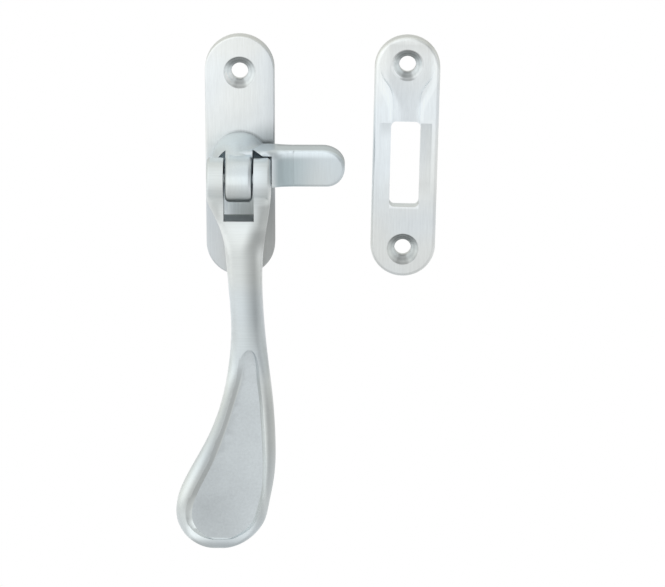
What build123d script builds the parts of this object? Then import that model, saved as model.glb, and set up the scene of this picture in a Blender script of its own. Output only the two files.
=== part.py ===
from build123d import *
from math import cos, hypot, radians, sin, sqrt, tan
import os

# Casement fastener with its mortice plate, in millimetres. The wall plane is Y = 0, the front looks
# along -Y and +Z is up. The origin is the middle of the back plate's rear face. "Depth" below is
# the distance in front of the wall plane.

# Screw plates, common to the back plate and the mortice plate
plate_length = 61.5
plate_thickness = 3.6
screw_shank_radius = 2.1
screw_head_radius = 4.0
screw_head_half_angle = 45.0

# Back plate
back_width = 17.2
back_edge_radius = 0.4
back_screw_spacing = 43.2
swivel_drop = 0.6

# Swivel: the nose casting's spigot turns in the back plate and is riveted behind it
spigot_radius = 2.9
running_clearance = 0.05
recess_radius = 5.1
recess_depth = 1.9
tenon_radius = 2.2
rivet_head_radius = 3.3
rivet_head_height = 0.35
rivet_setback = 0.1
retaining_washer_radius = 4.9
retaining_washer_thickness = 0.6
spring_washer_radius = 4.8
spring_washer_bore_radius = 3.1
spring_washer_sheet = 0.45

# Nose casting: hub, knuckle, shoulder and tongue
hub_radius = 7.1
hub_rim_height = 1.3
hub_bulge = 0.4
knuckle_width = 6.7
knuckle_radius = 5.7
knuckle_root_height = 9.0
knuckle_edge_radius = 1.1
tongue_reach = 26.1
tongue_height = 9.4
tongue_drop = 0.2
tongue_back_depth = 6.2
tongue_thickness = 5.7
tongue_edge_radius = 0.8
tongue_lead_length = 5.6
tongue_heel_length = 4.4
cheek_thickness = 0.6
# The root beside and behind the right ear, slice by slice: distance past the cheek's crest, rise in
# front of the tongue, growth behind it, and radius of the upper front corner
root_stations = [
    (-3.75, 1.2, 1.0, 0.8),
    (-2.5, 1.2, 1.0, 0.8),
    (-1.25, 1.2, 1.0, 1.3),
    (0.0, 1.05, 0.9, 2.2),
    (1.25, 0.5, 0.5, 1.7),
    (2.5, 0.2, 0.2, 1.1),
    (3.75, 0.05, 0.05, 0.85),
    (5.0, 0.0, 0.0, 0.8),
]

# Hinge between the knuckle and the handle's fork
hinge_depth = 14.3
hinge_drop = 2.8
pin_radius = 1.5
pin_dome = 0.3
fork_width = 15.7
fork_slot_width = 7.5
fork_slot_bottom = 12.8
fork_edge_radius = 0.8
barrel_radius = 5.3
ear_gap = 0.3
pocket_mouth_radius = 7.4
pocket_mouth_length = 2.6
ear_side_gap = 0.3

# Handle blade, level by level from the fork down. Beside the height, the first rows give how far the
# fork has drawn in from each side, and the others the left and right edge. Both end with the depth
# of the blade's middle and its thickness.
fork_stations = [
    (-5.4, 0.0, 0.0, 14.75, 7.9),
    (-8.2, 0.1, 0.05, 14.2, 6.8),
    (-12.0, 1.75, 0.55, 14.1, 6.5),
]
blade_stations = [
    (-17.0, -4.2, 6.5, 14.1, 6.4),
    (-24.0, -3.25, 5.75, 14.0, 6.1),
    (-32.0, -2.65, 5.65, 13.95, 5.75),
    (-41.0, -2.15, 6.15, 14.3, 5.5),
    (-50.0, -2.75, 7.05, 14.85, 5.35),
    (-60.0, -4.65, 8.2, 15.65, 5.2),
    (-70.0, -8.4, 8.8, 16.7, 5.05),
    (-79.0, -13.35, 8.5, 17.8, 5.0),
    (-87.0, -16.2, 7.0, 18.9, 4.95),
]
blade_front_radius = 2.3
blade_back_radius = 1.4
spoon_end_length = 10.5
spoon_end_depth = 1.5
spoon_end_lean = 1.0
end_angles = (18.0, 35.0, 50.0, 63.0, 74.0, 82.0, 87.0)
end_roundness = 2.2

# Sunk panel in the spoon's front: height, left and right edge of its floor
panel_stations = [
    (-53.0, 0.75, 4.15),
    (-58.5, -0.9, 4.75),
    (-63.5, -2.4, 5.1),
    (-68.5, -4.1, 5.4),
    (-73.5, -6.0, 5.6),
    (-78.5, -8.5, 5.6),
    (-83.5, -11.0, 5.1),
    (-87.5, -12.2, 4.0),
]
panel_depth = 0.8
panel_left_run = 1.4
panel_right_run = 0.8
panel_tip_length = 6.9
panel_end_length = 7.2
panel_end_lean = 1.0
panel_fade_angles = (20.0, 40.0, 60.0, 80.0)

# Mortice plate, which stands beside the fastener
keep_width = 16.2
keep_edge_radius = 0.9
keep_screw_spacing = 47.2
keep_centre = (41.1, -0.2)
keep_lean = 1.2
slot_width = 7.35
slot_height = 21.6
slot_drop = 1.8
slot_corner_radius = 1.3
bowl_radius = 6.8
neck_half_width = 3.45
neck_shoulder_radius = 7.0
ramp_start = 29.6
ramp_depth = 1.5
wedge_width = 12.9
wedge_depth = 0.95
wedge_end = 10.6

# Sketch planes: FRONT is drawn as seen from the front and extrudes toward the viewer. SIDE is drawn
# with depth as its first coordinate and height as its second, and extrudes across the width. TOP is
# drawn with width and depth, as seen from below.
FRONT = Plane.XZ
SIDE = Plane(origin=(0, 0, 0), x_dir=(0, -1, 0), z_dir=(-1, 0, 0))
TOP = Plane(origin=(0, 0, 0), x_dir=(1, 0, 0), z_dir=(0, 0, -1))
SPARE = 1.0

swivel = (0, -swivel_drop)
hinge = (hinge_depth, -hinge_drop)
tongue_middle = -swivel_drop - tongue_drop
cheek_crest = fork_width / 2 + ear_side_gap + cheek_thickness
seat_depth = plate_thickness + running_clearance
knuckle_bore_radius = pin_radius + running_clearance


def front_prism(sketch, start, end):
    """A front-view sketch extruded between two depths."""
    return extrude(FRONT.offset(start) * sketch, amount=end - start, dir=FRONT.z_dir)


def side_prism(sketch, left, right):
    """A side-view sketch extruded between two places across the width."""
    return extrude(SIDE.offset(-right) * sketch, amount=right - left, dir=SIDE.z_dir)


def disc(radius, start, end, centre=(0, 0)):
    """A round of the given radius between two depths."""
    return front_prism(Pos(*centre) * Circle(radius), start, end)


def screw_hole(x, z):
    """The cutter of one countersunk screw hole."""
    head_depth = (screw_head_radius - screw_shank_radius) / tan(radians(screw_head_half_angle))
    spread = SPARE * tan(radians(screw_head_half_angle))
    shank = disc(screw_shank_radius, -SPARE, plate_thickness, (x, z))
    head = Cone(
        screw_shank_radius,
        screw_head_radius + spread,
        head_depth + SPARE,
        align=(Align.CENTER, Align.CENTER, Align.MIN),
    )
    return shank + FRONT.offset(plate_thickness - head_depth) * Pos(x, z) * head


def plate_blank(width, edge_radius):
    """A flat bar with half-round ends and a softened front edge."""
    blank = front_prism(SlotOverall(plate_length, width, rotation=90), 0, plate_thickness)
    front_face = blank.faces().sort_by(Axis.Y)[0]
    return fillet(front_face.edges(), edge_radius)


def make_back_plate():
    plate = plate_blank(back_width, back_edge_radius)
    for side in (-1, 1):
        plate -= screw_hole(0, side * back_screw_spacing / 2)
    plate -= disc(spigot_radius + running_clearance, -SPARE, plate_thickness + SPARE, swivel)
    plate -= disc(recess_radius, -SPARE, recess_depth, swivel)
    return plate


# Depths of the riveted stack behind the plate, from the rear forward
rivet_front = rivet_setback + rivet_head_height
washer_front = rivet_front + retaining_washer_thickness


def make_retaining_washer():
    washer = disc(retaining_washer_radius, rivet_front, washer_front, swivel)
    return washer - disc(tenon_radius, 0, plate_thickness, swivel)


def make_spring_washer():
    """A dished ring: its rim bears on the recess floor, its bore on the retaining washer."""
    dish = recess_depth - washer_front - spring_washer_sheet
    section = Polygon(
        (spring_washer_bore_radius, -washer_front),
        (spring_washer_bore_radius, -washer_front - spring_washer_sheet),
        (spring_washer_radius, -washer_front - spring_washer_sheet - dish),
        (spring_washer_radius, -washer_front - dish),
        align=None,
    )
    axis = Axis((0, 0, -swivel_drop), (0, 1, 0))
    return revolve(Pos(0, 0, -swivel_drop) * section, axis)


def make_spigot():
    spigot = disc(spigot_radius, washer_front, seat_depth + SPARE, swivel)
    spigot += disc(tenon_radius, rivet_front, washer_front, swivel)
    head = disc(rivet_head_radius, rivet_setback, rivet_front, swivel)
    rear_rim = head.faces().sort_by(Axis.Y)[-1].edges()
    return spigot + fillet(rear_rim, rivet_head_height * 0.8)


def make_hub():
    """The round seat on the plate, drawn in to the knuckle's width in a full curve."""
    rim_depth = seat_depth + hub_rim_height
    half = knuckle_width / 2
    bow = ((hub_radius + half) / 2 + hub_bulge, (rim_depth + hinge_depth) / 2 + hub_bulge)
    with BuildSketch() as section:
        with BuildLine():
            Polyline(
                (0, hinge_depth), (0, seat_depth), (hub_radius, seat_depth), (hub_radius, rim_depth)
            )
            ThreePointArc((hub_radius, rim_depth), bow, (half, hinge_depth))
            Line((half, hinge_depth), (0, hinge_depth))
        make_face()
    turned = revolve(section.sketch, Axis.Y)
    return Pos(0, 0, -swivel_drop) * Rotation(0, 0, 180) * turned


def make_knuckle():
    """The middle leaf of the hinge: a barrel carried on straight flanks from the hub."""
    root = knuckle_root_height / 2
    with BuildSketch() as section:
        with BuildLine():
            Line((seat_depth, root - swivel_drop), (seat_depth, -root - swivel_drop))
            CenterArc(hinge, knuckle_radius, 0, 360)
        make_hull()
    leaf = side_prism(section.sketch, -knuckle_width / 2, knuckle_width / 2)
    return fillet(leaf.faces().filter_by(Axis.X).edges(), knuckle_edge_radius)


def make_tongue():
    """The nose that turns into the mortice, with a longer lead on its upper corner."""
    start = cheek_crest + root_stations[-1][0]
    lead = tongue_reach - tongue_lead_length
    heel = tongue_reach - tongue_heel_length
    half = tongue_height / 2
    with BuildSketch() as outline:
        with BuildLine():
            Polyline((lead, half), (start, half), (start, -half), (heel, -half))
            EllipticalCenterArc((heel, 0), tongue_heel_length, half, start_angle=270, arc_size=90)
            EllipticalCenterArc((lead, 0), tongue_lead_length, half, start_angle=0, arc_size=90)
        make_face()
    front = tongue_back_depth + tongue_thickness
    bar = front_prism(Pos(0, tongue_middle) * outline.sketch, tongue_back_depth, front)
    rim = bar.faces().sort_by(Axis.Y)[0].edges()
    return fillet(rim.filter_by(lambda edge: edge.center().X > start + SPARE), tongue_edge_radius)


def root_slice(across, rise, growth, corner_radius):
    """One upright slice through the tongue's root at a place across the width."""
    back = tongue_back_depth - growth
    front = tongue_back_depth + tongue_thickness + rise
    top = tongue_middle + tongue_height / 2
    low = tongue_middle - tongue_height / 2
    corners = Polygon((back, low), (front, low), (front, top), (back, top), align=None)
    upper = corners.vertices().sort_by(Axis.X)[2:].sort_by(Axis.Y)[-1]
    section = fillet(upper, corner_radius)
    lower = section.vertices().sort_by(Axis.X)[-2:].sort_by(Axis.Y)[0]
    return SIDE.offset(-across) * fillet(lower, tongue_edge_radius)


def make_root():
    """The tongue's root: a shoulder on the hub that wraps the right ear's end in a rounded cheek."""
    slices = [root_slice(cheek_crest + past, *form) for past, *form in root_stations]
    inner = cheek_crest + root_stations[0][0]
    return loft(slices) + extrude(slices[0], amount=inner, dir=SIDE.z_dir)


def ear_pocket(side):
    """The room in which one ear of the fork turns, opened out beside the knuckle."""
    inner = knuckle_width / 2
    outer = fork_width / 2 + ear_side_gap
    room_radius = barrel_radius + ear_gap
    section = Polygon(
        (inner, 0), (inner, pocket_mouth_radius), (inner + pocket_mouth_length, room_radius),
        (outer, room_radius), (outer, 0), align=None,
    )
    room = revolve(section, Axis.X)
    if side < 0:
        room = mirror(room, Plane.YZ)
    return Pos(0, -hinge_depth, -hinge_drop) * room


def make_nose():
    body = make_hub() + make_tongue() + make_root()
    for side in (-1, 1):
        body -= ear_pocket(side)
    body += make_knuckle() + make_spigot()
    return body - hinge_bore(knuckle_bore_radius, knuckle_width)


def hinge_bore(radius, width):
    """A round bar along the hinge line, centred on the middle of the fork."""
    bore = Cylinder(radius, width + 2 * SPARE)
    return Plane(origin=(0, -hinge_depth, -hinge_drop), z_dir=(1, 0, 0)) * bore


def make_hinge_pin():
    pin = Cylinder(pin_radius, fork_width)
    pin = chamfer(pin.edges(), pin_dome)
    return Plane(origin=(0, -hinge_depth, -hinge_drop), z_dir=(1, 0, 0)) * pin


def level_section(height, corners):
    """A closed outline of width and depth at one height."""
    return TOP.offset(-height) * Polygon(*corners, align=None)


def blade_section(height, left, right, depth, thickness, share=1.0):
    """One level of the blade, softer in front than behind. A share below 1 thins it at the end."""
    back = depth - share * thickness / 2
    front = depth + share * thickness / 2
    section = Polygon((left, back), (right, back), (right, front), (left, front), align=None)
    section = fillet(section.vertices().sort_by(Axis.Y)[2:], share * blade_front_radius)
    section = fillet(section.vertices().sort_by(Axis.Y)[:2], share * blade_back_radius)
    return TOP.offset(-height) * section


def make_blade():
    """Neck and spoon, lofted from the fork down through their levels to the spoon's round end."""
    half = fork_width / 2
    sections = [
        blade_section(height, left - half, half - right, depth, thickness)
        for height, left, right, depth, thickness in fork_stations
    ]
    sections += [blade_section(*station) for station in blade_stations]
    height, left, right, depth, thickness = blade_stations[-1]
    for angle in end_angles:
        down = sin(radians(angle))
        centre = (left + right) / 2 - spoon_end_lean * down
        reach = (right - left) / 2 * cos(radians(angle))
        left_over = min(1.0, spoon_end_length * (1 - down) / end_roundness)
        sections.append(
            blade_section(
                height - spoon_end_length * down,
                centre - reach,
                centre + reach,
                depth + spoon_end_depth * down,
                thickness,
                share=sqrt(1 - (1 - left_over) ** 2),
            )
        )
    return loft(sections)


def blade_front(height):
    """The depth of the blade's front at a height."""
    for upper, lower in zip(blade_stations, blade_stations[1:]):
        if height >= lower[0]:
            share = (upper[0] - height) / (upper[0] - lower[0])
            depth = upper[3] + share * (lower[3] - upper[3])
            return depth + (upper[4] + share * (lower[4] - upper[4])) / 2
    last = blade_stations[-1]
    return last[3] + last[4] / 2 + spoon_end_depth * (last[0] - height) / spoon_end_length


def panel_section(height, left, right, share=1.0):
    """One level of the panel's room: a flat floor, a steep left wall and a gentle right one."""
    face = blade_front(height)
    floor = face - share * panel_depth
    rise = (face + SPARE - floor) / (share * panel_depth)
    outer = (left - rise * share * panel_left_run, right + rise * share * panel_right_run)
    corners = ((left, floor), (right, floor), (outer[1], face + SPARE), (outer[0], face + SPARE))
    return level_section(height, corners)


def panel_cutter():
    """The sunk panel of the spoon, lofted through its levels and shallower toward both ends."""
    height, left, right = panel_stations[0]
    middle = (left + right) / 2
    tip = []
    for angle in panel_fade_angles:
        share = cos(radians(angle))
        reach = (right - left) / 2 * share
        up = height + panel_tip_length * sin(radians(angle))
        tip.append(panel_section(up, middle - reach, middle + reach, share))
    height, left, right = panel_stations[-1]
    middle = (left + right) / 2
    end = []
    for angle in panel_fade_angles:
        reach = (right - left) / 2 * cos(radians(angle))
        down = height - panel_end_length * sin(radians(angle))
        centre = middle - panel_end_lean * sin(radians(angle))
        end.append(panel_section(down, centre - reach, centre + reach, sqrt(cos(radians(angle)))))
    return loft(tip[::-1] + [panel_section(*station) for station in panel_stations] + end)


def make_handle():
    barrel = Cylinder(barrel_radius, fork_width)
    barrel = fillet(barrel.edges().filter_by(GeomType.CIRCLE), fork_edge_radius)
    barrel = Plane(origin=(0, -hinge_depth, -hinge_drop), z_dir=(1, 0, 0)) * barrel
    handle = barrel + make_blade()
    handle -= panel_cutter()
    slot_top = barrel_radius
    slot_centre = (slot_top - fork_slot_bottom) / 2
    slot = Pos(0, slot_centre) * Rectangle(fork_slot_width, slot_top + fork_slot_bottom)
    handle -= front_prism(slot, 0, 2 * hinge_depth)
    return handle - hinge_bore(pin_radius, fork_width)


def bottle_outline():
    """The lead-in ramp: a bowl round the top screw, drawn in to a neck at the slot."""
    bowl_height = keep_screw_spacing / 2
    slot_top = slot_height / 2 - slot_drop
    reach = bowl_radius + neck_shoulder_radius
    across = neck_half_width + neck_shoulder_radius
    neck_height = bowl_height - sqrt(reach**2 - across**2)
    drop = (bowl_height - neck_height) * bowl_radius / reach
    touch = (across * bowl_radius / reach, bowl_height - drop)
    middle = hypot(across - touch[0], neck_height - touch[1])
    swing = (touch[0] - across - middle, touch[1] - neck_height)
    length = hypot(*swing)
    bend = (across + swing[0] / length * middle, neck_height + swing[1] / length * middle)
    with BuildSketch() as outline:
        with BuildLine() as half:
            Line((0, slot_top - SPARE), (neck_half_width, slot_top - SPARE))
            Line((neck_half_width, slot_top - SPARE), (neck_half_width, neck_height))
            ThreePointArc((neck_half_width, neck_height), bend, touch)
            ThreePointArc(touch, (bowl_radius, bowl_height), (0, bowl_height + bowl_radius))
            mirror(half.line, Plane.YZ)
        make_face()
    return outline.sketch


def make_mortice_plate():
    """The plate let into the frame: a slot for the tongue, with a ramp and a wedge to lead it in."""
    plate = plate_blank(keep_width, keep_edge_radius)
    slot_top = slot_height / 2 - slot_drop
    face = plate_thickness
    deep = plate_thickness - ramp_depth
    ramp_room = Polygon(
        (face, ramp_start), (face + SPARE, ramp_start + SPARE), (face + SPARE, 0),
        (deep, 0), (deep, slot_top), align=None,
    )
    plate -= front_prism(bottle_outline(), 0, face + SPARE) & side_prism(ramp_room, -keep_width, keep_width)
    wedge_room = Polygon(
        (face - wedge_depth, slot_top), (face, -wedge_end), (face + SPARE, -wedge_end),
        (face + SPARE, slot_top), align=None,
    )
    plate -= side_prism(wedge_room, -wedge_width / 2, wedge_width / 2)
    slot = RectangleRounded(slot_width, slot_height, slot_corner_radius)
    plate -= front_prism(Pos(0, -slot_drop) * slot, -SPARE, face + SPARE)
    for side in (-1, 1):
        plate -= screw_hole(0, side * keep_screw_spacing / 2)
    return Pos(keep_centre[0], 0, keep_centre[1]) * Rotation(0, keep_lean, 0) * plate


def write_parts():
    os.makedirs("parts", exist_ok=True)
    makers = {
        "back_plate": make_back_plate,
        "spring_washer": make_spring_washer,
        "retaining_washer": make_retaining_washer,
        "nose": make_nose,
        "hinge_pin": make_hinge_pin,
        "handle": make_handle,
        "mortice_plate": make_mortice_plate,
    }
    for name, make in makers.items():
        part = make()
        export_step(part, f"parts/{name}.step")
        print(name, "solids", len(part.solids()), "volume", round(part.volume, 2), "valid", part.is_valid)


write_parts()
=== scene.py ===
import math

import bmesh
import bpy
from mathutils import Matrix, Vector


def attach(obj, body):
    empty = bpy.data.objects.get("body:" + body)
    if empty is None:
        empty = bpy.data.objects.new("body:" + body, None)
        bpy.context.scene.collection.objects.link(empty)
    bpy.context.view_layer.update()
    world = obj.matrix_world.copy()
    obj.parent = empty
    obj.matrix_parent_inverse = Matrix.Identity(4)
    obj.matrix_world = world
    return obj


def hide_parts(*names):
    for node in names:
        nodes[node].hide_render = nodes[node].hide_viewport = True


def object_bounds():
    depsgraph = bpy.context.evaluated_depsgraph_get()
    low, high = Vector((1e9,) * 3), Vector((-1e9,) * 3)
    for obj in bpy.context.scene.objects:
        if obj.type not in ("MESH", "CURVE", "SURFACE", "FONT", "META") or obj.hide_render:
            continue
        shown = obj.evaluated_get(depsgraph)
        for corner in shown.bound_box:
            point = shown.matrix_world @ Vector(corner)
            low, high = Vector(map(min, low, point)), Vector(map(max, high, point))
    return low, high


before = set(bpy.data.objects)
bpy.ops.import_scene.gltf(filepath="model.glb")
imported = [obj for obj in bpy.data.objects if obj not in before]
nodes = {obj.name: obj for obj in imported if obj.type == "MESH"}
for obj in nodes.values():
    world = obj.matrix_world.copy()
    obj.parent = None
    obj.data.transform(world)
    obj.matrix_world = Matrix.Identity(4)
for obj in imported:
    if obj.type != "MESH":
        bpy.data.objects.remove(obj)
cad_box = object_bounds()


# Back plate: a flat bar of cast metal with half-round ends, screwed to the sash. Its face is
# brushed from end to end on a belt, then plated in satin chrome. The screw seats are turned with
# a countersink.
class Field:
    """A value on its way between shader nodes. Sums and products of fields add Math nodes."""

    def __init__(self, finish, socket):
        self.finish = finish
        self.socket = socket

    def math(self, operation, *others):
        return self.finish.node("ShaderNodeMath", {"operation": operation}, [self, *others])

    def reflected(self, operation, other):
        return self.finish.node("ShaderNodeMath", {"operation": operation}, [other, self])

    def __add__(self, other):
        return self.math("ADD", other)

    def __sub__(self, other):
        return self.math("SUBTRACT", other)

    def __mul__(self, other):
        return self.math("MULTIPLY", other)

    def __truediv__(self, other):
        return self.math("DIVIDE", other)

    def __pow__(self, other):
        return self.math("POWER", other)

    def __rsub__(self, other):
        return self.reflected("SUBTRACT", other)

    def __neg__(self):
        return self.reflected("SUBTRACT", 0.0)

    def __abs__(self):
        return self.math("ABSOLUTE")

    __radd__ = __add__
    __rmul__ = __mul__

    def ramp(self, low, high, rise="SMOOTHSTEP"):
        """0 below low, 1 above high and a smooth rise between them."""
        sockets = {"Value": self, "From Min": low, "From Max": high}
        return self.finish.node("ShaderNodeMapRange", {"interpolation_type": rise}, sockets)

    def fall(self, low, high):
        """1 below low, 0 above high and a smooth fall between them."""
        return 1.0 - self.ramp(low, high)

    def band(self, start, end, soft):
        """1 between start and end, fading out over soft to either side of both."""
        return self.ramp(start - soft, start + soft) * self.fall(end - soft, end + soft)

    def swing(self, depth):
        """A noise's swing to either side of its middle value, one half."""
        return (self - 0.5) * depth


class Finish:
    """The node tree of one material or of the world."""

    def __init__(self, tree):
        self.tree = tree
        tree.nodes.clear()

    def node(self, kind, settings, sockets, output=0):
        """Adds a node, sets its settings and then its sockets, and gives one of its outputs."""
        made = self.tree.nodes.new(kind)
        for name, value in settings.items():
            setattr(made, name, value)
        named = sockets.items() if isinstance(sockets, dict) else enumerate(sockets)
        for name, value in named:
            if isinstance(value, Field):
                self.tree.links.new(value.socket, made.inputs[name])
            else:
                made.inputs[name].default_value = value
        return Field(self, made.outputs[output]) if made.outputs else None

    def blend(self, share, first, second):
        """A colour that goes from first to second as share goes from 0 to 1."""
        # The Mix node repeats the names of its sockets for each data type, so they go by number.
        sockets = {0: share, 6: first, 7: second}
        return self.node("ShaderNodeMix", {"data_type": "RGBA"}, sockets, output=2)

    def scale(self, colour, factor):
        """The colour, darker or lighter by a factor."""
        sockets = {"Vector": colour, "Scale": factor}
        return self.node("ShaderNodeVectorMath", {"operation": "SCALE"}, sockets)

    def stretch(self, place, scale):
        """The place, with each axis times its own number."""
        return self.node("ShaderNodeMapping", {}, {"Vector": place, "Scale": scale})

    def noise(self, place, scale, detail=2.0, roughness=0.5):
        """Soft noise from 0 to 1, with about scale features to the metre."""
        sockets = {"Vector": place, "Scale": scale, "Detail": detail, "Roughness": roughness}
        return self.node("ShaderNodeTexNoise", {}, sockets)

    def bump(self, height, strength, distance, **below):
        """The normal of a surface that height raises. below can give the normal it starts from."""
        sockets = {"Strength": strength, "Distance": distance, "Height": height, **below}
        return self.node("ShaderNodeBump", {}, sockets)

    def split(self, place):
        """The three parts of a place or a direction."""
        return [self.node("ShaderNodeSeparateXYZ", {}, [place], output=axis) for axis in "XYZ"]

    def metal(self, colour, roughness, normal):
        """Ends a material with a bare metal surface."""
        looks = {
            "Base Color": colour,
            "Metallic": 1.0,
            "Roughness": roughness,
            "Normal": normal,
        }
        surface = self.node("ShaderNodeBsdfPrincipled", {}, looks)
        self.node("ShaderNodeOutputMaterial", {}, {"Surface": surface})


def new_material(name):
    """A new material, its empty node tree and the place on the piece, in metres."""
    material = bpy.data.materials.new(name)
    material.use_nodes = True
    finish = Finish(material.node_tree)
    return material, finish, finish.node("ShaderNodeTexCoord", {}, {}, output="Object")


def tinted(chrome, tint):
    """The chrome's colour where the plating came out a little different."""
    return [part * share for part, share in zip(chrome, tint)] + [1.0]


def even_tone(x, y, z):
    """No change of tone over the piece."""
    return 1.0


def no_crown(x, y, z):
    """No extra curve of the surface."""
    return None


def no_blue(x, y, z):
    """No place with a painted blue shade."""
    return 0.0


# Brush marks with finer hairs between them, clouds, a slow drift and fine shot. A scale is in
# features to the metre, and streaks, gloss and relief say how far each noise reaches.
HAIR_FINENESS = 2.7
STROKE_ROUGHNESS = 0.6
DRIFT_SCALE = 45.0
CLOUD_SCALE = 130.0
SHOT_SCALE = 2600.0
MARK_STREAKS = 3.0
HAIR_STREAKS = 2.0
CLOUD_STREAKS = 2.6
MARK_GLOSS = 0.14
CLOUD_GLOSS = 0.10
MARK_RELIEF = 0.6
HAIR_RELIEF = 0.3
SHOT_RELIEF = 0.4
RELIEF_STRENGTH = 0.15
RELIEF_DEPTH = 0.00004
# The plating is warm in places and cool in others
DRIFT_RISE = (0.35, 0.65)
WARM_TINT = (1.01, 0.995, 0.97)
COOL_TINT = (0.965, 0.985, 1.01)
# The cooler colour of a painted blue shade
BLUE_TINT = (0.90, 0.99, 1.02)
# Edges are rubbed pale within this radius, where the surface turns and the marks stand up: wear,
# with a painted edge highlight in it
EDGE_RADIUS = 0.0004
EDGE_SAMPLES = 4
EDGE_TURN = (0.02, 0.30)
EDGE_MARKS = (0.3, 0.7)
EDGE_WEAR_AND_SHEEN = 0.5
EDGE_POLISH = 0.05
PALE_EDGE_SHARE = 0.5
PALE_EDGE_LIFT = 0.45


def satin_metal(
    name,
    chrome,
    strokes,
    tone=even_tone,
    crown=no_crown,
    blue=no_blue,
    roughness=0.38,
    streak_depth=0.05,
):
    """Brushed and plated metal. strokes stretches the brush marks: small along them, large across.
    tone darkens or lightens places, mostly with painted shade and painted highlight, blue paints a
    cooler shade on them, and crown adds a slight curve in metres. Each of the three is a function
    of the place on the piece."""
    material, finish, place = new_material(name)
    x, y, z = finish.split(place)
    brushed = finish.stretch(place, strokes)
    marks = finish.noise(brushed, 1.0, detail=3.0, roughness=STROKE_ROUGHNESS)
    brushed_finer = finish.stretch(place, [HAIR_FINENESS * stroke for stroke in strokes])
    hairs = finish.noise(brushed_finer, 1.0, roughness=STROKE_ROUGHNESS)
    cloud = finish.noise(place, CLOUD_SCALE, detail=3.0)
    drift = finish.noise(place, DRIFT_SCALE, detail=1.0)
    shot = finish.noise(place, SHOT_SCALE)

    warm = tinted(chrome, WARM_TINT)
    base = finish.blend(drift.ramp(*DRIFT_RISE), warm, tinted(chrome, COOL_TINT))
    base = finish.blend(blue(x, y, z), base, tinted(chrome, BLUE_TINT))

    edge_sockets = {"Radius": EDGE_RADIUS}
    edge_normal = finish.node("ShaderNodeBevel", {"samples": EDGE_SAMPLES}, edge_sockets)
    face_normal = finish.node("ShaderNodeNewGeometry", {}, {}, output="Normal")
    turn = 1.0 - finish.node(
        "ShaderNodeVectorMath",
        {"operation": "DOT_PRODUCT"},
        [edge_normal, face_normal],
        output="Value",
    )
    # Edges made paler, as wear and as a painted edge highlight
    edge_wear_and_sheen = turn.ramp(*EDGE_TURN) * marks.ramp(*EDGE_MARKS)
    wear_and_painted_light = [part * PALE_EDGE_SHARE + PALE_EDGE_LIFT for part in chrome] + [1.0]
    base = finish.blend(edge_wear_and_sheen * EDGE_WEAR_AND_SHEEN, base, wear_and_painted_light)

    streaks = 1.0 + marks.swing(MARK_STREAKS * streak_depth)
    streaks = streaks + hairs.swing(HAIR_STREAKS * streak_depth)
    streaks = streaks + cloud.swing(CLOUD_STREAKS * streak_depth)
    base = finish.scale(base, streaks * tone(x, y, z))

    gloss = roughness + marks.swing(MARK_GLOSS) + cloud.swing(CLOUD_GLOSS) - edge_wear_and_sheen * EDGE_POLISH
    curve = crown(x, y, z)
    below = {} if curve is None else {"Normal": finish.bump(curve, 1.0, 1.0)}
    relief = marks * MARK_RELIEF + hairs * HAIR_RELIEF + shot * SHOT_RELIEF
    finish.metal(base, gloss, finish.bump(relief, RELIEF_STRENGTH, RELIEF_DEPTH, **below))
    return material


def dress(node_name, material):
    """Puts the material on a CAD node."""
    mesh = nodes[node_name].data
    mesh.materials.clear()
    mesh.materials.append(material)


def reach_of(across, up):
    """How far a place is from the middle, from its two distances at right angles."""
    return (across * across + up * up) ** 0.5


# In the tones of all pieces, places are in metres, as a ramp's two limits or as a band's two
# ends and its softness. A shade darkens and a shine lightens, as a share of the metal's tone.
SEAT_RIM = (0.0039, 0.0042)
SEAT_FRONT = (-0.0014, -0.0008)
# Directions inside the seat, from -1 at its foot to 1 at its top
SEAT_TOP = (0.15, 0.95)
SEAT_TOP_SHADE = 0.52
SEAT_FOOT = (0.84, 0.98)
SEAT_FOOT_SHADE = 0.40
SEAT_LOWER_SIDES = (-0.80, -0.05, 0.15)
SEAT_SHINE = 0.08
SEAT_LEFT = (-0.003, 0.001)
SEAT_LEFT_SHINE = 0.06
RING_PITCH = 0.0009
RING_SHADE = 0.06
NOT_ZERO = 0.00001


def screw_seats(across, y, up, height):
    """The seats above and below a plate's middle: turned rings, with painted shade at the top and
    the foot and a painted highlight at the lower sides, stronger on the left."""
    tone = 1.0
    left_shine = across.fall(*SEAT_LEFT) * SEAT_LEFT_SHINE
    for centre in (height, -height):
        rise = up - centre
        reach = reach_of(across, rise)
        heading = rise / (reach + NOT_ZERO)
        # Painted shade at the seat's top and foot, painted highlight at its lower sides
        top = heading.ramp(*SEAT_TOP) * SEAT_TOP_SHADE
        foot = (-heading).ramp(*SEAT_FOOT) * SEAT_FOOT_SHADE
        shine = heading.band(*SEAT_LOWER_SIDES) * (SEAT_SHINE + left_shine)
        rings = (reach * (2 * math.pi / RING_PITCH)).math("SINE") * RING_SHADE
        inside = reach.fall(*SEAT_RIM) * y.fall(*SEAT_FRONT)
        tone = tone * (1.0 - inside * (top + foot + rings - shine))
    return tone


PLATE_CHROME = (0.895, 0.930, 0.943)
PLATE_STREAKS = 0.065
UPRIGHT_STROKES = (2200.0, 2200.0, 130.0)
BACK_SCREW_HEIGHT = 0.0216
SWIVEL_HEIGHT = -0.0006
PLATE_FRONT = (-0.0032, -0.0018)
# Painted shade: the plate darker toward its right, at its right edge and below its upper part
PLATE_ACROSS = (-0.008, 0.009)
PLATE_RIGHT_EDGE = (0.0058, 0.0084)
PLATE_RIGHT_SHADE = 0.09
PLATE_UPPER = (0.003, 0.024)
PLATE_FOOT_SHADE = 0.05
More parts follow.
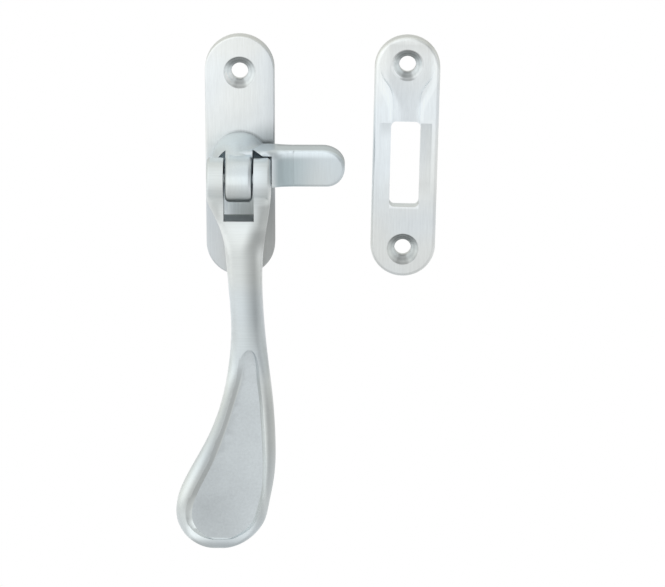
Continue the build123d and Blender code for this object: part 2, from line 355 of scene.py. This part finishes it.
# Painted shadow of the handle: under the handle, then to the right of the handle, and there most
# of all beside its fork
COVERED = (-0.013, 0.000)
COVERED_SHADE = 0.20
HANDLE_RIGHT = (0.0015, 0.0062)
HANDLE_RIGHT_SHADE = 0.175
FORK_RIGHT = (-0.0240, -0.0165)
FORK_RIGHT_SHADE = 0.065
# Painted light on the plate, seen through the gap between the fork's ears
FORK_GAP = (0.0028, 0.0058)
FORK_GAP_HEIGHT = (-0.0185, -0.0090, 0.0024)
FORK_GAP_SHINE = 0.12
# Painted shadows: a ring round the hub where it meets the plate, and a patch beside it, above the
# tongue's root
HUB_SEAM = (0.0072, 0.0079)
HUB_SEAM_START = (-0.0050, 0.0005)
HUB_SHADOW_SHADE = 0.30
TONGUE_SHADOW_PLACE = (0.007, 0.0042)
TONGUE_SHADOW_SIZE = 0.0065
TONGUE_SHADOW_SHADE = 0.38


def back_plate_tone(x, y, z):
    """The screw seats, with painted shade toward the plate's right and its foot, the handle's
    painted shadow, painted light through the fork's gap, and painted shadows round the hub and
    above the tongue's root.
    """
    front = y.fall(*PLATE_FRONT)
    # Painted shade toward the right and toward the foot
    wear_and_painted_light = 1.0 - x.ramp(*PLATE_ACROSS) * PLATE_RIGHT_SHADE
    wear_and_painted_light = wear_and_painted_light - z.fall(*PLATE_UPPER) * PLATE_FOOT_SHADE
    wear_and_painted_light = wear_and_painted_light - x.ramp(*PLATE_RIGHT_EDGE) * PLATE_RIGHT_SHADE

    # The handle's painted shadow on the plate, and painted light through the fork's gap
    fork_right = HANDLE_RIGHT_SHADE + z.ramp(*FORK_RIGHT) * FORK_RIGHT_SHADE
    covered = z.fall(*COVERED) * front * (COVERED_SHADE + x.ramp(*HANDLE_RIGHT) * fork_right)
    in_gap = abs(x).fall(*FORK_GAP) * z.band(*FORK_GAP_HEIGHT) * front
    handle_shadow_and_gap_light = 1.0 - covered * (1.0 - in_gap) + in_gap * FORK_GAP_SHINE

    # Painted contact shadows round the hub and above the tongue's root
    hub_shadow = reach_of(x, z - SWIVEL_HEIGHT).fall(*HUB_SEAM) * x.ramp(*HUB_SEAM_START) * front
    tongue_shadow = reach_of(x - TONGUE_SHADOW_PLACE[0], z - TONGUE_SHADOW_PLACE[1]).fall(0.0, TONGUE_SHADOW_SIZE) * front
    painted_contact_shadows = (1.0 - hub_shadow * HUB_SHADOW_SHADE) * (1.0 - tongue_shadow * TONGUE_SHADOW_SHADE)
    return screw_seats(x, y, z, BACK_SCREW_HEIGHT) * wear_and_painted_light * handle_shadow_and_gap_light * painted_contact_shadows


plate_satin = satin_metal(
    "satin_chrome_back_plate",
    PLATE_CHROME,
    UPRIGHT_STROKES,
    tone=back_plate_tone,
    streak_depth=PLATE_STREAKS,
)
dress("back_plate", plate_satin)


# Mortice plate: the same bar with a slot for the nose, screwed to the window's frame. The ramp and
# the wedge pocket are cast in. Painted shade darkens the ramp's floor and the pockets beside the
# slot, the right one most, and painted highlights lighten the ramp's walls and the slot's foot.
KEEP_CENTRE = (0.0411, -0.0002)
KEEP_LEAN = math.radians(1.2)
KEEP_SCREW_HEIGHT = 0.0236
KEEP_TONE = 0.99
KEEP_FOOT = (-0.016, 0.006)
KEEP_FOOT_SHADE = 0.14
KEEP_CREST = (0.0255, 0.0300)
KEEP_CREST_SHADE = 0.06
# The ramp's half width at its mouth, and how much wider its bowl is above the shoulder
RAMP_MOUTH = 0.00345
RAMP_BOWL = 0.0034
RAMP_SHOULDER = (0.011, 0.021)
RAMP_HEIGHT = (0.009, 0.029, 0.0004)
# Distances from the ramp's wall, less than zero inside it
RAMP_FLOOR = (-0.0003, 0.0002)
RAMP_FLOOR_EDGE = (-0.0014, -0.0003)
RAMP_EDGE_FADE = 0.8
RAMP_LEFT_WALL = (0.0012, 0.0030)
RAMP_LEFT_SHINE = 0.5
RAMP_SHADE = 0.08
RAMP_MIDDLE = (0.0125, 0.0215, 0.0025)
RAMP_MIDDLE_LEFT = (-0.0055, 0.0035)
RAMP_MIDDLE_SHADE = 0.07
RAMP_WALL_IN = (-0.0013, -0.0002)
RAMP_WALL_OUT = (0.0006, 0.0012)
RAMP_WALL_HEIGHT = (0.0095, 0.029, 0.0006)
RAMP_WALL_SHINE = 0.07
RIGHT_POCKET = (0.0037, 0.00645, 0.0002)
RIGHT_POCKET_FOOT = (-0.0110, -0.0060)
RIGHT_POCKET_TOP = (0.0086, 0.0092)
RIGHT_POCKET_SHADE = 0.10
RIGHT_POCKET_DEEP = (-0.0060, 0.0085)
RIGHT_POCKET_DEEP_SHADE = 0.14
LEFT_POCKET = (-0.0062, -0.0037, 0.0006)
LEFT_POCKET_FOOT = (0.0040, 0.0085)
LEFT_POCKET_TOP = (0.0085, 0.0090)
LEFT_POCKET_SHADE = 0.16
SLOT_SIDE = (0.0036, 0.0038)
SLOT_FOOT = (-0.0130, -0.0120, 0.0003)
SLOT_FOOT_SHINE = 0.16


def keep_tone(x, y, z):
    """Painted shade and highlights on the ramp, the pockets and the slot's foot, a face darker
    toward both ends, and the screw seats, in the plate's own leaning frame.
    """
    right = x - KEEP_CENTRE[0]
    rise = z - KEEP_CENTRE[1]
    across = right * math.cos(KEEP_LEAN) - rise * math.sin(KEEP_LEAN)
    up = right * math.sin(KEEP_LEAN) + rise * math.cos(KEEP_LEAN)

    # Painted shade on the ramp's floor, lighter by its left wall, and painted highlights on its
    # walls
    ramp_half = RAMP_MOUTH + up.ramp(*RAMP_SHOULDER) * RAMP_BOWL
    past_wall = abs(across) - ramp_half
    left_wall = (across + ramp_half).ramp(*RAMP_LEFT_WALL)
    floor = past_wall.fall(*RAMP_FLOOR) * up.band(*RAMP_HEIGHT)
    floor = floor * (1.0 - past_wall.ramp(*RAMP_FLOOR_EDGE) * RAMP_EDGE_FADE)
    floor = floor * (left_wall * (1.0 + RAMP_LEFT_SHINE) - RAMP_LEFT_SHINE)
    middle = across.fall(*RAMP_MIDDLE_LEFT) * up.band(*RAMP_MIDDLE)
    ramp_shade = floor * (RAMP_SHADE + middle * RAMP_MIDDLE_SHADE)
    wall = past_wall.ramp(*RAMP_WALL_IN) * past_wall.fall(*RAMP_WALL_OUT)
    wall_shine = wall * up.band(*RAMP_WALL_HEIGHT) * RAMP_WALL_SHINE

    face = KEEP_TONE - ramp_shade + wall_shine
    face = face - up.fall(*KEEP_FOOT) * KEEP_FOOT_SHADE - up.ramp(*KEEP_CREST) * KEEP_CREST_SHADE

    # Painted shade in the pockets beside the slot, and painted light at the slot's foot
    right_pocket = across.band(*RIGHT_POCKET) * up.ramp(*RIGHT_POCKET_FOOT)
    right_pocket = right_pocket * up.fall(*RIGHT_POCKET_TOP)
    right_shade = RIGHT_POCKET_SHADE + up.ramp(*RIGHT_POCKET_DEEP) * RIGHT_POCKET_DEEP_SHADE
    left_pocket = across.band(*LEFT_POCKET) * up.ramp(*LEFT_POCKET_FOOT)
    left_pocket = left_pocket * up.fall(*LEFT_POCKET_TOP)
    slot_foot = abs(across).fall(*SLOT_SIDE) * up.band(*SLOT_FOOT)
    cast = face - right_pocket * right_shade - left_pocket * LEFT_POCKET_SHADE
    cast = cast + slot_foot * SLOT_FOOT_SHINE
    return screw_seats(across, y, up, KEEP_SCREW_HEIGHT) * cast


keep_satin = satin_metal(
    "satin_chrome_mortice_plate",
    PLATE_CHROME,
    UPRIGHT_STROKES,
    tone=keep_tone,
    streak_depth=PLATE_STREAKS,
)
dress("mortice_plate", keep_satin)


# Nose: one casting of hub, middle hinge leaf and tongue, riveted to the back plate so that it can
# turn. It is dressed by hand on a wheel, which dished the tongue a little toward its root. The
# tongue carries a painted shade, darkest and bluest at its root.
SOFT_ANGLE = math.radians(32.0)
SAME_POINT = 0.000004


def finished_copy(node_name, body):
    """A merged copy of a CAD node, smooth but for its real edges, shown in the node's place."""
    shape = bmesh.new()
    shape.from_mesh(nodes[node_name].data)
    bmesh.ops.remove_doubles(shape, verts=shape.verts, dist=SAME_POINT)
    for face in shape.faces:
        face.smooth = True
    for edge in shape.edges:
        edge.smooth = edge.calc_face_angle(0.0) < SOFT_ANGLE
    mesh = bpy.data.meshes.new(node_name + "_finished")
    shape.to_mesh(mesh)
    shape.free()
    piece = bpy.data.objects.new(node_name + "_finished", mesh)
    bpy.context.scene.collection.objects.link(piece)
    even = piece.modifiers.new("flat_faces_stay_flat", "WEIGHTED_NORMAL")
    even.keep_sharp = True
    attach(piece, body)
    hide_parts(node_name)
    return piece


# Chrome painted darker than the plates', as shade
NOSE_CHROME = (0.740, 0.790, 0.805)
TONGUE_ROOT = 0.0088
TONGUE_TIP = 0.0261
TONGUE_START = (0.0083, 0.0100)
TONGUE_BODY = (0.0098, 0.0231)
TONGUE_TOP = (0.0012, 0.0034)
TONGUE_SHADE = 0.07
TONGUE_ROOT_SHADE = 0.25
UPPER_EDGE = (0.0022, 0.0037, 0.0007)
UPPER_EDGE_START = (0.0085, 0.0105)
UPPER_EDGE_FRONT = (-0.0114, -0.0108)
UPPER_EDGE_SHINE = 0.18
BACK_EDGE_START = (0.0085, 0.0100)
BACK_EDGE = (-0.0085, -0.0068)
BACK_EDGE_SHADE = 0.22
LEAF_SIDE = (0.0034, 0.0036)
LEAF_FOOT = (-0.0072, -0.0034)
LEAF_FOOT_SHADE = 0.20
LEAF_FRONT = (-0.0165, -0.0145)
LEAF_CREST = (-0.0027, -0.0008, 0.0006)
LEAF_CREST_SHINE = 0.11
LEAF_BROW = (-0.0003, 0.0010, 0.0006)
LEAF_BROW_SHADE = 0.06
LEAF_FLANK = (0.0016, 0.0034)
LEAF_FLANK_SHADE = 0.08


def nose_tone(x, y, z):
    """Painted shade over the tongue, darkest at its root and along its back edge, with a painted
    highlight along its upper edge; on the middle leaf, painted shade at its foot, and on its front
    painted shade at its brow and flanks and a painted highlight across its crest.
    """
    tongue = x.ramp(*TONGUE_START) * z.fall(*TONGUE_TOP)
    shade = tongue * (TONGUE_SHADE + x.fall(*TONGUE_BODY) * TONGUE_ROOT_SHADE)
    shade = shade + x.ramp(*BACK_EDGE_START) * y.ramp(*BACK_EDGE) * BACK_EDGE_SHADE
    upper_edge = z.band(*UPPER_EDGE) * x.ramp(*UPPER_EDGE_START) * y.fall(*UPPER_EDGE_FRONT)

    leaf = abs(x).fall(*LEAF_SIDE)
    shade = shade + leaf * z.fall(*LEAF_FOOT) * LEAF_FOOT_SHADE
    leaf_shine = z.band(*LEAF_CREST) * LEAF_CREST_SHINE - z.band(*LEAF_BROW) * LEAF_BROW_SHADE
    leaf_shine = leaf_shine - abs(x).ramp(*LEAF_FLANK) * LEAF_FLANK_SHADE
    return 1.0 - shade + upper_edge * UPPER_EDGE_SHINE + leaf * y.fall(*LEAF_FRONT) * leaf_shine


BLUE_END = (0.0110, 0.0200)
BLUE_TOP = (0.0005, 0.0034)


def nose_blue(x, y, z):
    """A painted blue shade at the tongue's root."""
    return x.ramp(*TONGUE_START) * x.fall(*BLUE_END) * z.fall(*BLUE_TOP)


DISH_DEPTH = 0.0008


def nose_crown(x, y, z):
    """The dish of the tongue's face, steepest at its root."""
    left_over = 1.0 - x.ramp(TONGUE_ROOT, TONGUE_TIP, "LINEAR")
    return left_over * left_over * left_over * DISH_DEPTH


nose_satin = satin_metal(
    "satin_chrome_nose",
    NOSE_CHROME,
    UPRIGHT_STROKES,
    tone=nose_tone,
    crown=nose_crown,
    blue=nose_blue,
)
nose = finished_copy("nose", "swivel")
nose.data.materials.append(nose_satin)

# The wheel also fills the slight dip in the front face where the root runs out into the tongue.
DIP_START = 0.0122
DIP_MIDDLE = 0.0133
DIP_END = 0.01378
DIP_DEPTH = 0.000157
DIP_FACE = -0.0100
for vertex in nose.data.vertices:
    if vertex.co.y < DIP_FACE and DIP_START < vertex.co.x < DIP_END:
        rise = (vertex.co.x - DIP_START) / (DIP_MIDDLE - DIP_START)
        fall = (DIP_END - vertex.co.x) / (DIP_END - DIP_MIDDLE)
        share = min(rise, fall, 1.0)
        vertex.co.y -= DIP_DEPTH * share * share * (3.0 - 2.0 * share)


# Handle: a casting with a fork, a neck and a spoon, pinned to the nose's middle leaf. The neck is
# brushed across its crowned front, and the spoon's front is sunk to a panel that is left
# sand-blasted and matt.
# Chrome painted darker than the plates', as shade
HANDLE_CHROME = (0.745, 0.790, 0.800)
LEVEL_STROKES = (70.0, 2200.0, 2200.0)
NECK_MIDDLE = 0.0007
NECK_SLANT = 0.03
CROWN_HEIGHT = (-0.048, -0.019, 0.006)
CROWN_BEND = -55.0


def from_neck_middle(x, z):
    """How far a place is to the right of the slanting middle line of the neck."""
    return x - (NECK_MIDDLE - z * NECK_SLANT)


def handle_crown(x, y, z):
    """The neck's front is slightly crowned, which fades out toward the fork and the spoon."""
    off = from_neck_middle(x, z)
    return off * off * z.band(*CROWN_HEIGHT) * CROWN_BEND


FORK_FOOT = (-0.0225, -0.0175)
# The blade's front, from the fork's slot down to the neck, with a painted shade that slants across
# it
BLADE_TOP = (-0.0095, -0.0078)
BLADE_MIDDLE = -0.0165
BLADE_SLANT = 0.30
BLADE_RIGHT = (0.0010, 0.0043)
BLADE_RIGHT_SHADE = 0.62
BLADE_UPPER = (-0.0165, -0.0115)
BLADE_UPPER_FADE = 0.38
BLADE_LOWER = (-0.0150, -0.0115)
BLADE_LOWER_SHINE = 0.20
FORK_SIDE = (0.0042, 0.0054)
FORK_SIDE_HEIGHT = (-0.014, -0.0080, 0.0015)
FORK_SIDE_SHADE = 0.10
RIGHT_EAR = (0.0036, 0.0038)
RIGHT_EAR_TOP = (0.0020, 0.0040)
RIGHT_EAR_FOOT = (-0.0085, -0.0070)
RIGHT_EAR_SHINE = 0.06
RIGHT_EAR_OUTER = (0.0040, 0.0080)
RIGHT_EAR_OUTER_SHADE = 0.17


def fork_shade(x, z):
    """The fork's front: a painted highlight on the blade's lower part and painted shade on its
    right, painted shade on the fork's outer sides, and on the right ear a faint painted highlight
    that turns to painted shade toward its outer side.
    """
    right = (x - (z - BLADE_MIDDLE) * BLADE_SLANT).ramp(*BLADE_RIGHT)
    shade = right * (BLADE_RIGHT_SHADE - z.ramp(*BLADE_UPPER) * BLADE_UPPER_FADE)
    shade = shade - z.fall(*BLADE_LOWER) * BLADE_LOWER_SHINE
    shade = shade * z.ramp(*FORK_FOOT) * z.fall(*BLADE_TOP)
    side = abs(x).ramp(*FORK_SIDE) * z.band(*FORK_SIDE_HEIGHT)
    ear = x.ramp(*RIGHT_EAR) * z.fall(*RIGHT_EAR_TOP) * z.ramp(*RIGHT_EAR_FOOT)
    ear_shade = x.ramp(*RIGHT_EAR_OUTER) * RIGHT_EAR_OUTER_SHADE - RIGHT_EAR_SHINE
    return shade + side * FORK_SIDE_SHADE + ear * ear_shade


# Distances from the neck's middle line
NECK_RIGHT = (-0.0016, 0.0022)
NECK_RIGHT_END = (0.0022, 0.0042)
NECK_RIGHT_SHADE = 0.36
NECK_LOWER = (-0.048, -0.036)
NECK_LOWER_SHARE = 0.30
NECK_LEFT = (-0.0041, -0.0029)
NECK_LEFT_HEIGHT = (-0.052, -0.020, 0.006)
NECK_LEFT_SHINE = 0.22


def neck_shade(x, z):
    """Painted highlight on the neck's left side and painted shade on its right side, which weakens
    toward the spoon.
    """
    off = from_neck_middle(x, z)
    # Painted shade on the right, painted highlight on the left
    right = off.ramp(*NECK_RIGHT) * off.fall(*NECK_RIGHT_END) * z.fall(*FORK_FOOT)
    right = right * (NECK_LOWER_SHARE + z.ramp(*NECK_LOWER) * (1.0 - NECK_LOWER_SHARE))
    left = off.fall(*NECK_LEFT) * z.band(*NECK_LEFT_HEIGHT)
    return right * NECK_RIGHT_SHADE - left * NECK_LEFT_SHINE


# The spoon's left rim runs along a curve: its place, slant and bend from the panel's tip down
SPOON_TIP = -0.047
SPOON_REACH = 0.0405
RIM_PLACE = 0.0018
RIM_SLANT = 0.00784
RIM_BEND = 0.00616
RIM_WIDTH = 0.0026
RIM_WIDENING = 0.0017
RIM_HEIGHT = (-0.086, -0.052, 0.003)
# Shares of the rim's width, from the panel's edge outward
RIM_START = (0.0, 0.14)
RIM_INNER = (0.50, 1.08)
RIM_INNER_SHADE = 0.46
RIM_OUTER_SHINE = 0.22
# The right rim bulges out, furthest at this height
BULGE_HEIGHT = -0.076
BULGE_REACH = 0.0165
BULGE_PLACE = 0.0056
BULGE_BEND = 0.0007
RIGHT_WALL = (0.0001, 0.0009, 0.0003)
RIGHT_WALL_HEIGHT = (-0.084, -0.060, 0.005)
RIGHT_WALL_SHINE = 0.22
RIGHT_RIM = (0.0009, 0.0016)
RIGHT_RIM_HEIGHT = (-0.086, -0.058, 0.006)
RIGHT_RIM_SHADE = 0.16
FOOT_WALL = (-0.0132, -0.0072, 0.0008)
FOOT_WALL_HEIGHT = (-0.0945, -0.0900, 0.0008)
FOOT_WALL_SHINE = 0.24
FOOT_RIDGE = (-0.0925, -0.0890)
FOOT_RIDGE_SHINE = 0.11
FOOT_OUTER = (0.0930, 0.0960)
FOOT_OUTER_SHADE = 0.20


def spoon_shade(x, z):
    """The rim round the sunk panel: painted shade on its left inner slope and a painted highlight
    on its left outer edge, a painted highlight on the right wall and painted shade on the right
    rim, and painted highlights on the foot's wall and ridge with painted shade at the very foot.
    """
    down = (SPOON_TIP - z) / SPOON_REACH
    edge = RIM_PLACE - down * RIM_SLANT - down * down * RIM_BEND
    out = (edge - x) / (RIM_WIDTH + down * RIM_WIDENING)
    left_rim = out.ramp(*RIM_START) * z.band(*RIM_HEIGHT)
    shade = left_rim * (out.fall(*RIM_INNER) * RIM_INNER_SHADE - RIM_OUTER_SHINE)

    drop = (z - BULGE_HEIGHT) / BULGE_REACH
    out = x - (BULGE_PLACE - drop * drop * BULGE_BEND)
    right_wall = out.band(*RIGHT_WALL) * z.band(*RIGHT_WALL_HEIGHT)
    right_rim = out.ramp(*RIGHT_RIM) * z.band(*RIGHT_RIM_HEIGHT)
    shade = shade - right_wall * RIGHT_WALL_SHINE + right_rim * RIGHT_RIM_SHADE

    foot_wall = x.band(*FOOT_WALL) * z.band(*FOOT_WALL_HEIGHT)
    shade = shade - foot_wall * FOOT_WALL_SHINE - z.fall(*FOOT_RIDGE) * FOOT_RIDGE_SHINE
    return shade + (-z).ramp(*FOOT_OUTER) * FOOT_OUTER_SHADE


# The front face lies at this depth, and sweeps back toward the wall below the neck
FRONT_DEPTH = -0.0140
FRONT_FADE = (-0.0014, 0.0006)
SWEEP_START = -0.036
SWEEP_BEND = 1.69
# Painted shade toward the spoon
SPOON_FADE = (-0.060, -0.018)
SPOON_SHADE = 0.10
# Painted shade on the end wall of the fork's slot, and painted light on the right ear's outer side
SLOT_END_SIDE = (0.0037, 0.0039)
SLOT_END = (-0.01288, -0.0126, 0.0001)
SLOT_END_SHADE = 0.58
EAR_SIDE = (0.00775, 0.0079)
EAR_SIDE_HEIGHT = (-0.0085, 0.0040, 0.0010)
EAR_SIDE_SHINE = 0.20


def handle_tone(x, y, z):
    """Painted shade and highlights of fork, neck and spoon on the front, painted shade on the
    slot's end, painted light on the right ear's side, and painted shade toward the spoon.
    """
    sweep = (SWEEP_START - z).math("MAXIMUM", 0.0)
    front = (y - FRONT_DEPTH + sweep * sweep * SWEEP_BEND).fall(*FRONT_FADE)
    shade = neck_shade(x, z) + fork_shade(x, z) + spoon_shade(x, z)
    slot_end = abs(x).fall(*SLOT_END_SIDE) * z.band(*SLOT_END)
    ear_side = x.ramp(*EAR_SIDE) * z.band(*EAR_SIDE_HEIGHT)
    tone = 1.0 - front * shade - z.fall(*SPOON_FADE) * SPOON_SHADE
    return tone - slot_end * SLOT_END_SHADE + ear_side * EAR_SIDE_SHINE


handle_satin = satin_metal(
    "satin_chrome_handle", HANDLE_CHROME, LEVEL_STROKES, tone=handle_tone, crown=handle_crown
)

PANEL_CHROME = (0.615, 0.655, 0.675)
PANEL_TONE = 0.98
GRIT_SCALE = 3400.0
GRAIN_SCALE = 1500.0
GRAIN_ROUGHNESS = 0.7
PATCH_SCALE = 170.0
GRAIN_STREAKS = 0.34
PATCH_STREAKS = 0.16
BLASTED_ROUGHNESS = 0.50
GRAIN_GLOSS = 0.2
GRIT_RELIEF = 0.5
GRAIN_RELIEF = 0.8
BLAST_STRENGTH = 0.5
BLAST_DEPTH = 0.00006
PANEL_ACROSS = (-0.012, 0.006)
PANEL_RIGHT_SHINE = 0.10
PANEL_LOW = (-0.092, -0.070)
PANEL_LOW_MIDDLE = (-0.0105, 0.0005, 0.004)
PANEL_LOW_SHADE = 0.11


def blasted_metal(name, chrome):
    """Sand-blasted and plated metal: matt, with an even grain and soft clouds."""
    material, finish, place = new_material(name)
    x, y, z = finish.split(place)
    grit = finish.noise(place, GRIT_SCALE, roughness=GRAIN_ROUGHNESS)
    grain = finish.noise(place, GRAIN_SCALE, detail=3.0, roughness=GRAIN_ROUGHNESS)
    cloud = finish.noise(place, PATCH_SCALE, detail=3.0)
    tone = PANEL_TONE + grain.swing(GRAIN_STREAKS) + cloud.swing(PATCH_STREAKS)
    tone = tone + x.ramp(*PANEL_ACROSS) * PANEL_RIGHT_SHINE
    tone = tone - z.fall(*PANEL_LOW) * x.band(*PANEL_LOW_MIDDLE) * PANEL_LOW_SHADE
    gloss = BLASTED_ROUGHNESS + grain.swing(GRAIN_GLOSS)
    relief = grit * GRIT_RELIEF + grain * GRAIN_RELIEF
    pits = finish.bump(relief, BLAST_STRENGTH, BLAST_DEPTH)
    finish.metal(finish.scale(chrome, tone), gloss, pits)
    return material


# Height and left and right edge of the panel's floor, from its tip to its foot
PANEL_FLOOR = [
    (-0.0470, 0.0018, 0.0030),
    (-0.0530, 0.00075, 0.00415),
    (-0.0585, -0.0009, 0.00475),
    (-0.0635, -0.0024, 0.0051),
    (-0.0685, -0.0041, 0.0054),
    (-0.0735, -0.0060, 0.0056),
    (-0.0785, -0.0085, 0.0056),
    (-0.0835, -0.0110, 0.0051),
    (-0.0875, -0.0122, 0.0040),
    (-0.0905, -0.0120, 0.0027),
    (-0.0930, -0.0100, 0.0000),
    (-0.0946, -0.0060, -0.0040),
]
FACING_FRONT = -0.9


def on_panel(face):
    """Whether a face of the handle lies on the panel's floor."""
    centre = face.calc_center_median()
    if face.normal.y > FACING_FRONT:
        return False
    for upper, lower in zip(PANEL_FLOOR, PANEL_FLOOR[1:]):
        if lower[0] <= centre.z < upper[0]:
            share = (upper[0] - centre.z) / (upper[0] - lower[0])
            left = upper[1] + share * (lower[1] - upper[1])
            right = upper[2] + share * (lower[2] - upper[2])
            return left < centre.x < right
    return False


handle = finished_copy("handle", "lever")
handle.data.materials.append(handle_satin)
handle.data.materials.append(blasted_metal("blasted_chrome_panel", PANEL_CHROME))
casting = bmesh.new()
casting.from_mesh(handle.data)
for face in casting.faces:
    face.material_index = 1 if on_panel(face) else 0
casting.to_mesh(handle.data)
casting.free()


# Hinge pin: plain round bar pressed through the fork, its ends dressed flush with the ears and
# plated with the handle.
pin_satin = satin_metal("satin_chrome_pin", HANDLE_CHROME, LEVEL_STROKES)
dress("hinge_pin", pin_satin)


# Washers: a coned spring washer in the back plate's rear recess and a flat one under the rivet,
# both of bare steel, dull and a little oiled.
WASHER_STEEL = (0.42, 0.42, 0.42)
WASHER_ROUGHNESS = 0.42
washer_steel = satin_metal(
    "plain_washer_steel", WASHER_STEEL, LEVEL_STROKES, roughness=WASHER_ROUGHNESS
)
dress("spring_washer", washer_steel)
dress("retaining_washer", washer_steel)


# Floor: a sheet of white paper some way below the fastener. The camera sees it white, and the
# metal mirrors it with the soft shade that the fastener leaves on it.
FLOOR_HALF = 0.8
FLOOR_DROP = 0.12
LEVEL_ONLY = (1.0, 1.0, 0.0)
SHADE_CENTRE = (0.0, -0.15, 0.0)
SHADE_REACH = (0.08, 0.42)
SHADE = (0.76, 0.77, 0.77, 1.0)
PAPER = (0.8, 0.8, 0.8, 1.0)
WHITE = (1.0, 1.0, 1.0, 1.0)

floor_mesh = bpy.data.meshes.new("floor")
sheet = bmesh.new()
bmesh.ops.create_grid(sheet, x_segments=1, y_segments=1, size=FLOOR_HALF)
bmesh.ops.translate(sheet, verts=sheet.verts, vec=(0.0, 0.0, cad_box[0].z - FLOOR_DROP))
sheet.to_mesh(floor_mesh)
sheet.free()
floor = bpy.data.objects.new("floor", floor_mesh)
bpy.context.scene.collection.objects.link(floor)

white_floor, paper, spot = new_material("white_floor")
is_camera, is_glossy, is_transmission = [
    paper.node("ShaderNodeLightPath", {}, {}, output=f"Is {kind} Ray")
    for kind in ("Camera", "Glossy", "Transmission")
]
flat_spot = paper.node("ShaderNodeVectorMath", {"operation": "MULTIPLY"}, [spot, LEVEL_ONLY])
away = paper.node(
    "ShaderNodeVectorMath", {"operation": "DISTANCE"}, [flat_spot, SHADE_CENTRE], output="Value"
)
shaded = paper.blend(away.ramp(*SHADE_REACH), SHADE, WHITE)
mirrored = paper.blend(is_glossy, WHITE, shaded)
lit = paper.node("ShaderNodeBsdfDiffuse", {}, {"Color": PAPER})
bright = paper.node("ShaderNodeEmission", {}, {"Color": mirrored, "Strength": 1.0})
seen = is_camera + is_glossy + is_transmission
shown = paper.node("ShaderNodeMixShader", {}, [seen, lit, bright])
paper.node("ShaderNodeOutputMaterial", {}, {"Surface": shown})
floor_mesh.materials.append(white_floor)


# Studio: a white room for the camera. The metal mirrors it brightest in front and on the left,
# and greyer behind. On the right of the camera stands a grey card, which gives curved faces a
# dark side.
ROOM_LEVEL = 0.84
ROOM_FRONT = 0.25
ROOM_LEFT = 0.12
ROOM_OVERHEAD = 0.085
# Directions, from -1 to 1: to the right, and to the back
CARD_START = (0.12, 0.55)
CARD_END = (0.80, 0.98)
CARD_BACK = (-0.1, 0.3)
CARD_DARKNESS = 0.42
FRONT_TO_BACK = (-0.8, 0.8)
FRONT_TINT = (0.985, 1.0, 1.0, 1.0)
BACK_TINT = (1.0, 1.0, 0.95, 1.0)

world = bpy.data.worlds.new("studio")
bpy.context.scene.world = world
world.use_nodes = True
room = Finish(world.node_tree)
heading = room.node("ShaderNodeTexCoord", {}, {}, output="Generated")
to_right, to_back, to_sky = room.split(heading)
card = to_right.ramp(*CARD_START) * to_right.fall(*CARD_END) * to_back.fall(*CARD_BACK)
level = ROOM_LEVEL - to_back * ROOM_FRONT - to_right * ROOM_LEFT + to_sky * ROOM_OVERHEAD
level = level * (1.0 - card * CARD_DARKNESS)
tint = room.blend(to_back.ramp(*FRONT_TO_BACK), FRONT_TINT, BACK_TINT)
room_light = {"Color": room.scale(tint, level), "Strength": 1.0}
lit_room = room.node("ShaderNodeBackground", {}, room_light)
white_room = room.node("ShaderNodeBackground", {}, {"Color": WHITE, "Strength": 1.0})
camera_sees = room.node("ShaderNodeLightPath", {}, {}, output="Is Camera Ray")
shown_room = room.node("ShaderNodeMixShader", {}, [camera_sees, lit_room, white_room])
room.node("ShaderNodeOutputWorld", {}, {"Surface": shown_room})


# Camera: a long lens a little above the fastener, looking down on it from almost straight ahead.
LENS_MM = 189.5
SENSOR_MM = 36.0
AZIMUTH = math.radians(0.6)
ELEVATION = math.radians(17.0)
CAMERA_DISTANCE = 0.88608
AIM_POINT = Vector((0.022967, 0.0, -0.036577))

toward_camera = Vector((
    math.sin(AZIMUTH) * math.cos(ELEVATION),
    -math.cos(AZIMUTH) * math.cos(ELEVATION),
    math.sin(ELEVATION),
))
camera_data = bpy.data.cameras.new("camera")
camera_data.lens = LENS_MM
camera_data.sensor_width = SENSOR_MM
camera_data.clip_start = 0.05
camera_data.clip_end = 50.0
camera = bpy.data.objects.new("camera", camera_data)
bpy.context.scene.collection.objects.link(camera)
camera.location = AIM_POINT + toward_camera * CAMERA_DISTANCE
camera.rotation_euler = (math.pi / 2 - ELEVATION, 0.0, AZIMUTH)
bpy.context.scene.camera = camera

bpy.context.scene.view_settings.view_transform = "Standard"
